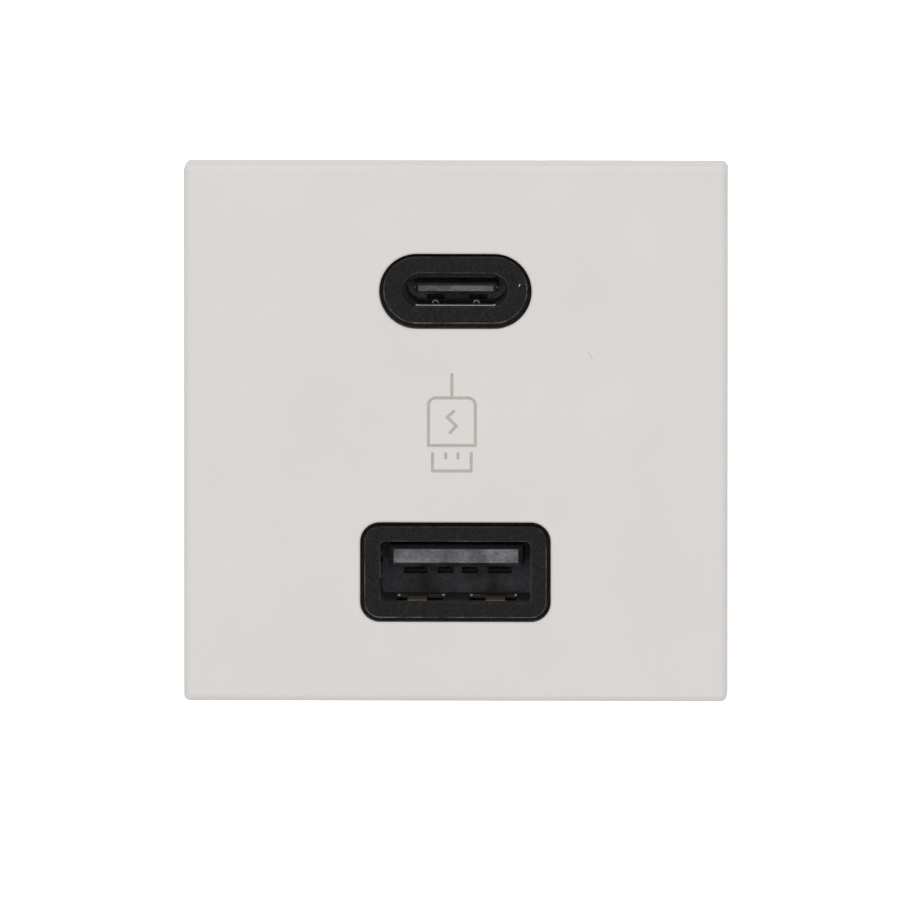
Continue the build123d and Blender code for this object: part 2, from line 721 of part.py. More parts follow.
# Steel plate in the middle of the USB-C tongue
with BuildPart() as usb_c_mid_plate:
    with BuildSketch(depth(usb_c_plate_start, usb_c_row)):
        Rectangle(usb_c_plate_width, usb_c_plate_sheet)
    extrude(amount=usb_c_plate_start - usb_board_front)
usb_c_mid_plate.part.label = "usb_c_mid_plate"
export_step(usb_c_mid_plate.part, "parts/usb_c_mid_plate.step")

# Sixteen USB-C contacts, eight on each side of the tongue
with BuildPart() as usb_c_contacts:
    with BuildSketch(depth(usb_c_contact_start, usb_c_row)):
        for contact_z in (-usb_c_contact_level, usb_c_contact_level):
            with Locations([(contact_x, contact_z) for contact_x in usb_c_contact_spots]):
                Rectangle(usb_c_contact_width, usb_c_contact_sheet)
    extrude(amount=usb_c_contact_start - usb_board_front)
usb_c_contacts.part.label = "usb_c_contacts"
export_step(usb_c_contacts.part, "parts/usb_c_contacts.step")

# Front board, which carries the receptacles
with BuildPart() as usb_board:
    with BuildSketch(depth(usb_board_front)):
        Rectangle(usb_board_width, usb_board_height)
        with GridLocations(pin_pitch, 0, pin_count, 1):
            Rectangle(pin_side, pin_side, mode=Mode.SUBTRACT)
    extrude(amount=-usb_board_thickness)
    with BuildSketch(depth(usb_board_front, usb_a_row)):
        with GridLocations(usb_a_width + usb_a_sheet, usb_a_leg_pitch, 2, 2):
            Rectangle(usb_a_sheet + 2 * hole_gap, usb_a_leg_width + 2 * hole_gap)
        with Locations((0, usb_a_contact_level + usb_a_contact_sheet / 2)):
            with Locations(usb_a_contacts_wide):
                Rectangle(usb_a_outer_contact, usb_a_contact_sheet)
            with Locations(usb_a_contacts_narrow):
                Rectangle(usb_a_inner_contact, usb_a_contact_sheet)
    extrude(amount=-usb_board_thickness, mode=Mode.SUBTRACT)
    with BuildSketch(depth(usb_board_front, usb_c_row)):
        with GridLocations(usb_c_leg_pitch, usb_c_height + usb_c_sheet, 2, 2):
            Rectangle(usb_c_leg_width + 2 * hole_gap, usb_c_sheet + 2 * hole_gap)
    extrude(amount=-usb_board_thickness, mode=Mode.SUBTRACT)
usb_board.part.label = "usb_board"
export_step(usb_board.part, "parts/usb_board.step")

# Rear board, clamped between the lid's posts and the box's wells
with BuildPart() as main_board:
    with BuildSketch(depth(main_board_front)):
        Rectangle(main_board_side, main_board_side)
        with GridLocations(screw_spacing, screw_spacing, 2, 2):
            Circle(through_radius, mode=Mode.SUBTRACT)
        with GridLocations(pin_pitch, 0, pin_count, 1):
            Rectangle(pin_side, pin_side, mode=Mode.SUBTRACT)
        with Locations((0, (bar_bottom + bar_top) / 2)):
            with GridLocations(pole_pitch, 0, 2, 1):
                Rectangle(bar_tail_width, bar_thickness, mode=Mode.SUBTRACT)
    extrude(amount=-main_board_thickness)
main_board.part.label = "main_board"
export_step(main_board.part, "parts/main_board.step")

# Pin header that joins the boards
with BuildPart() as link_header:
    with BuildSketch(depth(usb_board_rear)):
        Rectangle(pin_count * pin_pitch, header_width)
        with GridLocations(pin_pitch, 0, pin_count, 1):
            Rectangle(pin_side, pin_side, mode=Mode.SUBTRACT)
    extrude(amount=-board_gap)
link_header.part.label = "link_header"
export_step(link_header.part, "parts/link_header.step")

with BuildPart() as link_pins:
    with BuildSketch(depth(usb_board_front - pin_stub)):
        with GridLocations(pin_pitch, 0, pin_count, 1):
            Rectangle(pin_side, pin_side)
    extrude(amount=usb_board_front - main_board_rear - 2 * pin_stub)
link_pins.part.label = "link_pins"
export_step(link_pins.part, "parts/link_pins.step")

# Terminal block: for each pole a chamber open to the board, a driver hole below and a wire hole behind
with BuildPart() as terminal_block:
    with BuildSketch(depth(main_board_rear, block_middle)):
        Rectangle(block_width, block_height)
    extrude(amount=main_board_rear - case_depth)
    with BuildSketch(depth(main_board_rear, (head_top + end_gap + cage_top + slide_gap) / 2)):
        with GridLocations(pole_pitch, 0, 2, 1):
            Rectangle(cage_width + 2 * slide_gap, cage_top + slide_gap - head_top - end_gap)
    extrude(amount=main_board_rear - pocket_end, mode=Mode.SUBTRACT)
    with BuildSketch(depth(main_board_rear, (head_bottom + head_top) / 2)):
        with GridLocations(pole_pitch, 0, 2, 1):
            Rectangle(2 * (terminal_head_radius + slide_gap), terminal_head_height + 2 * end_gap)
    head_room_end = terminal_depth + terminal_head_radius + slide_gap
    extrude(amount=main_board_rear - head_room_end, mode=Mode.SUBTRACT)
    with BuildSketch(level(block_bottom)):
        with Locations((-pole, terminal_depth), (pole, terminal_depth)):
            Circle(driver_radius)
    extrude(amount=block_floor, mode=Mode.SUBTRACT)
    with BuildSketch(depth(pocket_end, (bar_bottom + bar_top) / 2)):
        with GridLocations(pole_pitch, 0, 2, 1):
            Rectangle(bar_width, bar_thickness)
    extrude(amount=-bar_seat, mode=Mode.SUBTRACT)
    with BuildSketch(depth(pocket_end, wire_height)):
        with GridLocations(pole_pitch, 0, 2, 1):
            Circle(wire_radius)
    extrude(amount=pocket_end - case_depth, mode=Mode.SUBTRACT)
    wire_mouths = terminal_block.faces().sort_by(Axis.Y)[-1].inner_wires()
    chamfer([edge for wire in wire_mouths for edge in wire.edges()], length=wire_funnel)
terminal_block.part.label = "terminal_block"
export_step(terminal_block.part, "parts/terminal_block.step")

# Captive terminal screws, driven from below
with BuildPart() as terminal_screw_left:
    with BuildSketch(level(head_bottom)):
        with Locations((-pole, terminal_depth)):
            Circle(terminal_head_radius)
    extrude(amount=terminal_head_height)
    with BuildSketch(level(head_top)):
        with Locations((-pole, terminal_depth)):
            Circle(terminal_shank_radius)
    extrude(amount=bar_bottom - end_gap - head_top)
    with BuildSketch(level(head_bottom)):
        with Locations((-pole, terminal_depth)):
            Rectangle(2 * terminal_head_radius, terminal_slot_width)
    extrude(amount=terminal_slot_depth, mode=Mode.SUBTRACT)
terminal_screw_left.part.label = "terminal_screw_left"
export_step(terminal_screw_left.part, "parts/terminal_screw_left.step")

with BuildPart() as terminal_screw_right:
    mirror(terminal_screw_left.part, about=Plane.YZ)
terminal_screw_right.part.label = "terminal_screw_right"
export_step(terminal_screw_right.part, "parts/terminal_screw_right.step")

# Rising cages: each a closed loop round its contact bar, threaded on its screw
with BuildPart() as terminal_cage_left:
    with BuildSketch(depth(terminal_depth - cage_length / 2)):
        with Locations((-pole, (cage_rest + cage_top) / 2)):
            Rectangle(cage_width, cage_top - cage_rest)
        with Locations((-pole, (cage_rest + cage_near_wall + cage_roof) / 2)):
            Rectangle(
                cage_width - 2 * cage_side_wall,
                cage_roof - cage_rest - cage_near_wall,
                mode=Mode.SUBTRACT,
            )
    extrude(amount=-cage_length)
    with BuildSketch(level(cage_rest)):
        with Locations((-pole, terminal_depth)):
            Circle(terminal_shank_radius + thread_gap)
    extrude(amount=cage_near_wall, mode=Mode.SUBTRACT)
terminal_cage_left.part.label = "terminal_cage_left"
export_step(terminal_cage_left.part, "parts/terminal_cage_left.step")

with BuildPart() as terminal_cage_right:
    mirror(terminal_cage_left.part, about=Plane.YZ)
terminal_cage_right.part.label = "terminal_cage_right"
export_step(terminal_cage_right.part, "parts/terminal_cage_right.step")

# Contact bars: seated in the block behind, shouldered before the cage, soldered through the board
with BuildPart() as terminal_contact_left:
    bar_shoulder_end = terminal_depth - cage_length / 2 - slide_gap
    bar_shoulder_start = bar_shoulder_end - bar_shoulder_length
    with BuildSketch(level(bar_bottom)):
        with Locations((-pole, (bar_shoulder_end + pocket_end + bar_seat) / 2)):
            Rectangle(bar_width, pocket_end + bar_seat - bar_shoulder_end)
        with Locations((-pole, bar_shoulder_end - bar_shoulder_length / 2)):
            Rectangle(bar_shoulder_width, bar_shoulder_length)
        with Locations((-pole, (main_board_front - pin_stub + bar_shoulder_start) / 2)):
            Rectangle(bar_tail_width, bar_shoulder_start - main_board_front + pin_stub)
    extrude(amount=bar_thickness)
terminal_contact_left.part.label = "terminal_contact_left"
export_step(terminal_contact_left.part, "parts/terminal_contact_left.step")

with BuildPart() as terminal_contact_right:
    mirror(terminal_contact_left.part, about=Plane.YZ)
terminal_contact_right.part.label = "terminal_contact_right"
export_step(terminal_contact_right.part, "parts/terminal_contact_right.step")

# Transformer: two equal E-shaped core halves, a bobbin on the middle leg and its taped winding
core_start = main_board_rear + core_lift
core_end = core_start + core_height
core_half = (core_height - core_gap) / 2
core_window = (core_length - core_centre_leg) / 2 - core_side_leg
core_window_pitch = core_centre_leg + core_window
window_start = core_start + core_yoke
window_end = core_end - core_yoke

with BuildPart() as transformer_core:
    with BuildSketch(level(transformer_row)):
        with Locations((0, core_start + core_half / 2), (0, core_end - core_half / 2)):
            Rectangle(core_length, core_half)
        with Locations((0, (window_start + window_end) / 2)):
            with GridLocations(core_window_pitch, 0, 2, 1):
                Rectangle(core_window, window_end - window_start, mode=Mode.SUBTRACT)
    extrude(amount=core_width / 2, both=True)
transformer_core.part.label = "transformer_core"
export_step(transformer_core.part, "parts/transformer_core.step")

with BuildPart() as transformer_bobbin:
    with BuildSketch(depth(window_start, transformer_row)):
        Rectangle(core_centre_leg + 2 * bobbin_wall, core_width + 2 * bobbin_wall)
    extrude(amount=window_start - window_end)
    for flange_start in (window_start, window_end - bobbin_flange):
        with BuildSketch(depth(flange_start, transformer_row)):
            Rectangle(bobbin_width, bobbin_length)
        extrude(amount=-bobbin_flange)
    with BuildSketch(depth(main_board_rear, transformer_row)):
        with GridLocations(0, bobbin_length - bobbin_foot, 1, 2):
            Rectangle(bobbin_width, bobbin_foot)
    extrude(amount=main_board_rear - window_start)
    with BuildSketch(depth(window_start, transformer_row)):
        Rectangle(core_centre_leg, core_width)
    extrude(amount=window_start - window_end, mode=Mode.SUBTRACT)
transformer_bobbin.part.label = "transformer_bobbin"
export_step(transformer_bobbin.part, "parts/transformer_bobbin.step")

with BuildPart() as transformer_winding:
    with BuildSketch(depth(window_start + bobbin_flange, transformer_row)):
        RectangleRounded(winding_width, winding_length, winding_corner)
        Rectangle(
            core_centre_leg + 2 * bobbin_wall,
            core_width + 2 * bobbin_wall,
            mode=Mode.SUBTRACT,
        )
    extrude(amount=window_start - window_end + 2 * bobbin_flange)
transformer_winding.part.label = "transformer_winding"
export_step(transformer_winding.part, "parts/transformer_winding.step")

# Electrolytic capacitors, standing on the main board
with BuildPart() as input_capacitor_upper:
    with BuildSketch(depth(main_board_rear)):
        with Locations((-capacitor_column, capacitor_row_upper)):
            Circle(capacitor_radius)
    extrude(amount=-input_capacitor_height)
    chamfer(input_capacitor_upper.faces().sort_by(Axis.Y)[-1].edges(), length=capacitor_edge)
input_capacitor_upper.part.label = "input_capacitor_upper"
export_step(input_capacitor_upper.part, "parts/input_capacitor_upper.step")

with BuildPart() as input_capacitor_lower:
    with Locations((0, 0, capacitor_row_lower - capacitor_row_upper)):
        add(input_capacitor_upper.part)
input_capacitor_lower.part.label = "input_capacitor_lower"
export_step(input_capacitor_lower.part, "parts/input_capacitor_lower.step")

with BuildPart() as output_capacitor_upper:
    with BuildSketch(depth(main_board_rear)):
        with Locations((capacitor_column, capacitor_row_upper)):
            Circle(capacitor_radius)
    extrude(amount=-output_capacitor_height)
    chamfer(output_capacitor_upper.faces().sort_by(Axis.Y)[-1].edges(), length=capacitor_edge)
output_capacitor_upper.part.label = "output_capacitor_upper"
export_step(output_capacitor_upper.part, "parts/output_capacitor_upper.step")

with BuildPart() as output_capacitor_lower:
    with Locations((0, 0, capacitor_row_lower - capacitor_row_upper)):
        add(output_capacitor_upper.part)
output_capacitor_lower.part.label = "output_capacitor_lower"
export_step(output_capacitor_lower.part, "parts/output_capacitor_lower.step")

# Line filter choke: ferrite drum with its winding
with BuildPart() as filter_choke_core:
    with BuildSketch(depth(main_board_rear)):
        with Locations((choke_column, choke_row)):
            Circle(choke_core_radius)
    extrude(amount=-choke_height)
    for flange_start in (main_board_rear, main_board_rear + choke_height - choke_flange):
        with BuildSketch(depth(flange_start)):
            with Locations((choke_column, choke_row)):
                Circle(choke_radius)
        extrude(amount=-choke_flange)
filter_choke_core.part.label = "filter_choke_core"
export_step(filter_choke_core.part, "parts/filter_choke_core.step")

with BuildPart() as filter_choke_winding:
    with BuildSketch(depth(main_board_rear + choke_flange)):
        with Locations((choke_column, choke_row)):
            Circle(choke_winding_radius)
            Circle(choke_core_radius, mode=Mode.SUBTRACT)
    extrude(amount=2 * choke_flange - choke_height)
filter_choke_winding.part.label = "filter_choke_winding"
export_step(filter_choke_winding.part, "parts/filter_choke_winding.step")

# Fuse, surge capacitor and safety capacitor
with BuildPart() as fuse:
    with BuildSketch(depth(main_board_rear)):
        with Locations((capacitor_column - capacitor_radius - fuse_gap - fuse_width / 2, fuse_row)):
            Rectangle(fuse_width, fuse_height)
    extrude(amount=-fuse_depth)
    long_edges = fuse.edges().filter_by(Axis.Y)
    chamfer(long_edges + fuse.faces().sort_by(Axis.Y)[-1].edges(), length=fuse_edge)
fuse.part.label = "fuse"
export_step(fuse.part, "parts/fuse.step")

with BuildPart() as surge_capacitor:
    with BuildSketch(depth(main_board_rear)):
        with Locations((-block_width / 2 - side_part_gap - surge_width / 2, side_part_row)):
            Rectangle(surge_width, surge_thickness)
    extrude(amount=-surge_depth)
    long_edges = surge_capacitor.edges().filter_by(Axis.Y)
    chamfer(long_edges + surge_capacitor.faces().sort_by(Axis.Y)[-1].edges(), length=surge_edge)
surge_capacitor.part.label = "surge_capacitor"
export_step(surge_capacitor.part, "parts/surge_capacitor.step")

with BuildPart() as safety_capacitor:
    disc_middle = main_board_rear + lead_lift + disc_radius
    disc_column = block_width / 2 + side_part_gap + disc_radius
    with BuildSketch(level(side_part_row)):
        with Locations((disc_column, disc_middle)):
            Circle(disc_radius)
    extrude(amount=disc_thickness / 2, both=True)
    chamfer(safety_capacitor.edges().filter_by(GeomType.CIRCLE), length=disc_edge)
    with BuildSketch(depth(main_board_rear)):
        with Locations((disc_column, side_part_row)):
            with GridLocations(lead_pitch, 0, 2, 1):
                Rectangle(lead_side, lead_side)
    extrude(amount=main_board_rear - disc_middle)
safety_capacitor.part.label = "safety_capacitor"
export_step(safety_capacitor.part, "parts/safety_capacitor.step")

# Flat parts in the space between the boards
with BuildPart() as bridge_rectifier:
    with BuildSketch(depth(main_board_front)):
        with Locations((bridge_column, bridge_row)):
            Rectangle(bridge_width, bridge_height)
    extrude(amount=bridge_depth)
    chamfer(bridge_rectifier.faces().sort_by(Axis.Y)[0].edges(), length=chip_edge)
bridge_rectifier.part.label = "bridge_rectifier"
export_step(bridge_rectifier.part, "parts/bridge_rectifier.step")

with BuildPart() as switching_controller:
    with BuildSketch(depth(main_board_front)):
        with Locations((-chip_column, chip_row)):
            Rectangle(switcher_width, switcher_height)
    extrude(amount=switcher_depth)
    chamfer(switching_controller.faces().sort_by(Axis.Y)[0].edges(), length=chip_edge)
switching_controller.part.label = "switching_controller"
export_step(switching_controller.part, "parts/switching_controller.step")

# Parts on the front board, between the receptacles
with BuildPart() as charge_controller:
    with BuildSketch(depth(usb_board_front)):
        with Locations((chip_column, chip_row)):
            Rectangle(charger_side, charger_side)
    extrude(amount=charger_depth)
    chamfer(charge_controller.faces().sort_by(Axis.Y)[0].edges(), length=chip_edge)
charge_controller.part.label = "charge_controller"
export_step(charge_controller.part, "parts/charge_controller.step")

with BuildPart() as buck_inductor:
    with BuildSketch(depth(usb_board_front)):
        with Locations((-chip_column, chip_row)):
            Rectangle(inductor_side, inductor_side)
    extrude(amount=inductor_depth)
    chamfer(buck_inductor.edges().filter_by(Axis.Y), length=inductor_edge)
    chamfer(buck_inductor.faces().sort_by(Axis.Y)[0].edges(), length=chip_edge)
buck_inductor.part.label = "buck_inductor"
export_step(buck_inductor.part, "parts/buck_inductor.step")
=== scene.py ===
import json
from math import cos, pi, radians, sin

import bpy
from mathutils import Matrix, Vector


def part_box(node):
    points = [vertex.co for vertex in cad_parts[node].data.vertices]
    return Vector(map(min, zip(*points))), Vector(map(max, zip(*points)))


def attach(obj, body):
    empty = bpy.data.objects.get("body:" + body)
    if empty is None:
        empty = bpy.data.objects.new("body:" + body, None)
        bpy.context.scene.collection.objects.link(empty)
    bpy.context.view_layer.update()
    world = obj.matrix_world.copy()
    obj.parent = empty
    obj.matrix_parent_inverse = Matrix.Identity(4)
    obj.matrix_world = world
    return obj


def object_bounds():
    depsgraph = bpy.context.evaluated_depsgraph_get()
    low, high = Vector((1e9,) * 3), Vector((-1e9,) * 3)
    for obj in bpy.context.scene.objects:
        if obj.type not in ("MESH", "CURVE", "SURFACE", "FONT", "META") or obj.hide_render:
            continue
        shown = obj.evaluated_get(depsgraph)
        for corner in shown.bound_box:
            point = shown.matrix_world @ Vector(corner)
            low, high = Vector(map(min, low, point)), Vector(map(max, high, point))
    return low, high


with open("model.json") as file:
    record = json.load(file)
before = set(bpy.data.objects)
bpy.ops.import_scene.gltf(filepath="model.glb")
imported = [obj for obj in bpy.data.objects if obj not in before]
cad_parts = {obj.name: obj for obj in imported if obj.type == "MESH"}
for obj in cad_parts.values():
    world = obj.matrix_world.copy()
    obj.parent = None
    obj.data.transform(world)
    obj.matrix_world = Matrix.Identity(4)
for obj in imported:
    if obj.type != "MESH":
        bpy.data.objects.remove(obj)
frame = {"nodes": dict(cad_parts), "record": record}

MM = 0.001
cad_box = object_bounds()

# Camera at the photograph's angle: a long lens, a little above the face and to its right
camera_azimuth = radians(1.2)
camera_elevation = radians(5.0)
camera_distance = 3.0
camera_clip = (0.01, 20.0)
pixels_across = 900
pixels_per_mm = 12.08
aim_right = -0.548 * MM
aim_up = -1.817 * MM

# Stage and lights, in metres and watts
white = (1.0, 1.0, 1.0, 1.0)
ambient_level = 0.7
softboxes = {
    "front_softbox": {"place": (0.0, -1.15, 0.12), "side": 0.45, "watts": 2.85},
    "top_softbox": {"place": (-0.1, -0.3, 1.0), "side": 0.6, "watts": 2.0},
}
floor_drop = 80 * MM
floor_side = 6.0
floor_grey = (0.8, 0.8, 0.8)
floor_roughness = 0.9
floor_glow = 0.85

# Printed charging sign, in millimetres right of and above the middle of the cover's face.
# The bolt's points count from the sign's own middle line
sign_lift = 0.008 * MM
sign_stroke = 0.25
sign_middle = -0.29
sign_cable = (3.08, 5.0)
sign_body_side = 1.94
sign_body = (-1.01, 2.94)
sign_body_corner = 0.6
sign_bolt = ((0.23, 1.9), (-0.38, 1.34), (0.36, 0.6), (-0.2, -0.02))
sign_plug_side = 1.6
sign_plug = (-3.13, -1.59)
sign_pin_side = 0.51
sign_pin_end = -2.15
corner_steps = 8

# Small marks: a scratch and a fleck on the USB-C collar and a bent hairline on the cover.
# Each has two ends, right of and above the face's middle, and half its width, in millimetres
scratch = ((-3.42, 10.33), (-2.68, 9.42), 0.022)
fleck = ((5.28, 12.23), (5.34, 12.37), 0.036)
hairline = (((11.02, 6.74), (11.25, 6.4), 0.07), ((11.25, 6.4), (11.35, 6.06), 0.07))

# Zones that look different are boxes on the right half, and the left half mirrors them.
# The margin takes a box past the middle or past the part, and the cut's reach round a cut face
margin = 1.0 * MM
cut_reach = 0.02 * MM

# Collars: the depth of their bevels, the reach of the bevels round each shell with a weaker painted
# highlight, the share of painted highlight that those keep, and the depth of the gaps painted lighter with
# painted bounce light
bevel_reach = 0.13 * MM
mouth_reach = 0.2 * MM
mouth_highlight_share = 0.5
gap_depth = 4.0 * MM

# Tongues and contacts: the reach of the sides' own tone, the tip painted pale as painted light and its
# tints, where the pockets start behind the wall's face, and the length of the plating, with painted shade
# behind it
side_tone_reach = (3.4 * MM, 6.4 * MM)
tip_reach = 0.05 * MM
tip_light_tints = (0.72, 1.45)
hollow_start = 0.2 * MM
plating_length = 3.0 * MM

# USB-C shell: the lower lip as a painted highlight, the floor with dust towards the back, and the arches'
# cut ends with painted highlights
lip_half = 3.3 * MM
lip_start = 0.17 * MM
lip_height = 0.4 * MM
shell_floor_height = 0.3 * MM
shell_dust_start = 4.2 * MM
shell_floor_end = 6.5 * MM
arch_start = 1.7 * MM

# USB-A shell: the rear cut of each lower window in painted shade with painted glints at both ends, and the
# bare fingers
sheet = 0.3 * MM
window_ends = (1.05 * MM, 4.95 * MM)
window_rear = 7.3 * MM
glint_width = 0.2 * MM
finger_middle = 3.25 * MM
finger_half = 0.82 * MM
finger_start = 1.6 * MM
finger_end = 3.2 * MM
finger_high = 0.8 * MM

# Insulators: depth of the wall behind the tongue, top of the pockets in it, height and length of
# the top painted lighter as painted light, and the colours of the body, the top, the wall above the tongue
# and the tip
# Each insulator's tip and top are painted lighter as painted light, and its pockets take painted shade
insulator_looks = {
    "usb_a_insulator": {
        "wall": 7.65 * MM,
        "hollow_top": 5.0 * MM,
        "top": 0.88 * MM,
        "top_end": 7.6 * MM,
        "dark": (0.03, 0.03, 0.031),
        "worn": (0.08, 0.083, 0.09),
        "side_tone": (0.1, 0.104, 0.113),
        "top_painted_light": (0.11, 0.11, 0.114),
        "ledge": (0.11, 0.11, 0.114),
        "tip_painted_light": (0.15, 0.156, 0.169),
    },
    "usb_c_insulator": {
        "wall": 5.5 * MM,
        "hollow_top": 0.36 * MM,
        "top": 1.08 * MM,
        "top_end": 7.0 * MM,
        "dark": (0.06, 0.06, 0.061),
        "worn": (0.14, 0.14, 0.143),
        "side_tone": (0.1, 0.1, 0.103),
        "top_painted_light": (0.17, 0.17, 0.173),
        "ledge": (0.08, 0.08, 0.082),
        "tip_painted_light": (0.118, 0.119, 0.13),
    },
}

# Colours of the mouldings and shells that the photograph shows
cover_colours = {
    "plain": (0.68, 0.658, 0.635),
    "darker": (0.67, 0.648, 0.624),
    "lighter": (0.69, 0.669, 0.646),
    "speck": (0.42, 0.38, 0.34),
    "hairline": (0.56, 0.545, 0.525),
}
case_colours = {
    "plain": (0.009, 0.009, 0.0092),
    # Painted bounce light: the black sides in the gaps round the collars get a lighter warm tone from the
    # pale cover
    "gap_bounce_light": (0.035, 0.031, 0.028),
    # Painted highlight along the collars' bevels
    "edge_highlight": (0.15, 0.146, 0.14),
    "lint": (0.035, 0.034, 0.033),
    "dust": (0.3, 0.29, 0.28),
    "scratch": (0.028, 0.028, 0.028),
    "fleck": (0.75, 0.75, 0.73),
}
shell_colours = {
    "plating": (0.095, 0.095, 0.096),
    # Painted shade: the USB-C shell's front edge is a near-black mirror
    "rim": (0.01, 0.01, 0.01),
    # Painted highlight on the USB-C shell's lower lip
    "lip_highlight": (0.25, 0.228, 0.209),
    "floor": (0.045, 0.045, 0.045),
    "floor_dust": (0.25, 0.25, 0.25),
    # Painted highlight on the arches' cut ends
    "arch_highlight": (0.12, 0.112, 0.104),
    # Painted shade on the USB-A windows' rear cuts, and painted glints at their ends
    "window_cut_shade": (0.02, 0.019, 0.019),
    "glint": (0.5, 0.44, 0.42),
    "finger": (0.23, 0.165, 0.115),
}
# Painted shade: the pockets in the insulators' walls are painted near-black
pocket_shade_black = (0.02, 0.02, 0.02)
plating_metallic = 0.5

# Fine lines of drawn and rolled metal run into the wall, along the axis with the small scale
drawn = (1, 0.15, 1)
rolled = (1, 0.2, 1)

# Wire: the pitch of its turns, and the radians that a wave of scale 1 turns in each metre
wire_pitch = 0.0987 * MM
wave_rate = 20.0

# Colour sockets of the mix node, which have the same names as those for its other kinds of data
mix_inputs = (6, 7)
mix_output = 2


def add_node(owner, kind, **settings):
    """A new node of a material or the world."""
    node = owner.node_tree.nodes.new(kind)
    for name, value in settings.items():
        setattr(node, name, value)
    return node


def join(owner, start, end):
    """A link from an output to an input."""
    owner.node_tree.links.new(start, end)


def fill(owner, socket, value):
    """Give an input a link, where the value is an output, or else the plain value."""
    if isinstance(value, bpy.types.NodeSocket):
        join(owner, value, socket)
    else:
        socket.default_value = value


def maths(owner, operation, *values):
    """The result of a maths node; each value is a number or an output."""
    node = add_node(owner, "ShaderNodeMath", operation=operation)
    for socket, value in zip(node.inputs, values):
        fill(owner, socket, value)
    return node.outputs["Value"]


def vector_maths(owner, operation, *vectors, scale=None):
    """The result of a vector maths node; each vector is plain or an output."""
    node = add_node(owner, "ShaderNodeVectorMath", operation=operation)
    for socket, vector in zip(node.inputs, vectors):
        fill(owner, socket, vector)
    if scale is not None:
        fill(owner, node.inputs["Scale"], scale)
    gives_number = operation in ("DOT_PRODUCT", "DISTANCE")
    return node.outputs["Value" if gives_number else "Vector"]


def axes_of(owner, vector):
    """The X, Y and Z outputs of a vector."""
    node = add_node(owner, "ShaderNodeSeparateXYZ")
    join(owner, vector, node.inputs["Vector"])
    return node.outputs


def product(owner, first, *others):
    """The values multiplied together."""
    for other in others:
        first = maths(owner, "MULTIPLY", first, other)
    return first


def spread(owner, value, low=0.0, high=1.0, start=0.3, end=0.7):
    """The value between start and end, spread from low to high."""
    node = add_node(owner, "ShaderNodeMapRange")
    node.inputs["From Min"].default_value = start
    node.inputs["From Max"].default_value = end
    node.inputs["To Min"].default_value = low
    node.inputs["To Max"].default_value = high
    join(owner, value, node.inputs["Value"])
    return node.outputs["Result"]


def fade(owner, mask, low, high):
    """Low where the mask is 0 and high where it is 1."""
    return spread(owner, mask, low, high, start=0.0, end=1.0)


def shader_input(material, name):
    """One of the inputs of a material's shader."""
    return material.node_tree.nodes["Principled BSDF"].inputs[name]


def feed(material, name, output):
    """Link an output to one of the shader's inputs."""
    join(material, output, shader_input(material, name))


def base_colour(material):
    """The output that feeds the shader's base colour so far."""
    return shader_input(material, "Base Color").links[0].from_socket


def new_material(name, colour, roughness, metallic=0.0, specular=0.5):
    """A principled material with its plain values on the shader's own sockets."""
    material = bpy.data.materials.new(name)
    material.use_nodes = True
    shader_input(material, "Base Color").default_value = (*colour, 1.0)
    shader_input(material, "Roughness").default_value = roughness
    shader_input(material, "Metallic").default_value = metallic
    shader_input(material, "Specular IOR Level").default_value = specular
    return material


def part_place(material, stretch=(1, 1, 1)):
    """Coordinates in the part's own frame, in metres, stretched along its axes."""
    coordinates = add_node(material, "ShaderNodeTexCoord")
    mapping = add_node(material, "ShaderNodeMapping")
    mapping.inputs["Scale"].default_value = stretch
    join(material, coordinates.outputs["Object"], mapping.inputs["Vector"])
    return mapping.outputs["Vector"]


def noise(material, size_mm, detail=2.0, stretch=(1, 1, 1)):
    """Noise whose features are about size_mm across."""
    node = add_node(material, "ShaderNodeTexNoise")
    node.inputs["Scale"].default_value = 1 / (size_mm * MM)
    node.inputs["Detail"].default_value = detail
    join(material, part_place(material, stretch), node.inputs["Vector"])
    return node.outputs["Fac"]


def specks(material, spacing_mm, radius_mm, share):
    """Sparse round specks: 1 in the middle of a speck, 0 from its edge outwards."""
    cells = add_node(material, "ShaderNodeTexVoronoi")
    cells.inputs["Scale"].default_value = 1 / (spacing_mm * MM)
    join(material, part_place(material), cells.inputs["Vector"])
    edge = radius_mm / spacing_mm
    near = spread(material, cells.outputs["Distance"], low=1.0, high=0.0, start=0.0, end=edge)
    pick = add_node(material, "ShaderNodeSeparateColor")
    join(material, cells.outputs["Color"], pick.inputs["Color"])
    return product(material, near, maths(material, "LESS_THAN", pick.outputs["Red"], share))


def right_side(material):
    """Coordinates in the part's own frame with the left half folded onto the right half."""
    axes = axes_of(material, part_place(material))
    folded = add_node(material, "ShaderNodeCombineXYZ")
    join(material, maths(material, "ABSOLUTE", axes["X"]), folded.inputs["X"])
    for axis in ("Y", "Z"):
        join(material, axes[axis], folded.inputs[axis])
    return folded.outputs["Vector"]


def towards_sides(material, start, end):
    """0 in the middle of the part, rising from start to 1 at the end on both sides."""
    axes = axes_of(material, right_side(material))
    return spread(material, axes["X"], start=start, end=end)


def box_of(x, y, z):
    """A box, as its low and high corners, from where it starts and ends along each axis."""
    return tuple(zip(x, y, z))


def from_middle(end):
    """The range across the part from its middle to an end."""
    return (-margin, end)


def at_cut(place):
    """The thin range round a cut face."""
    return (place - cut_reach, place + cut_reach)


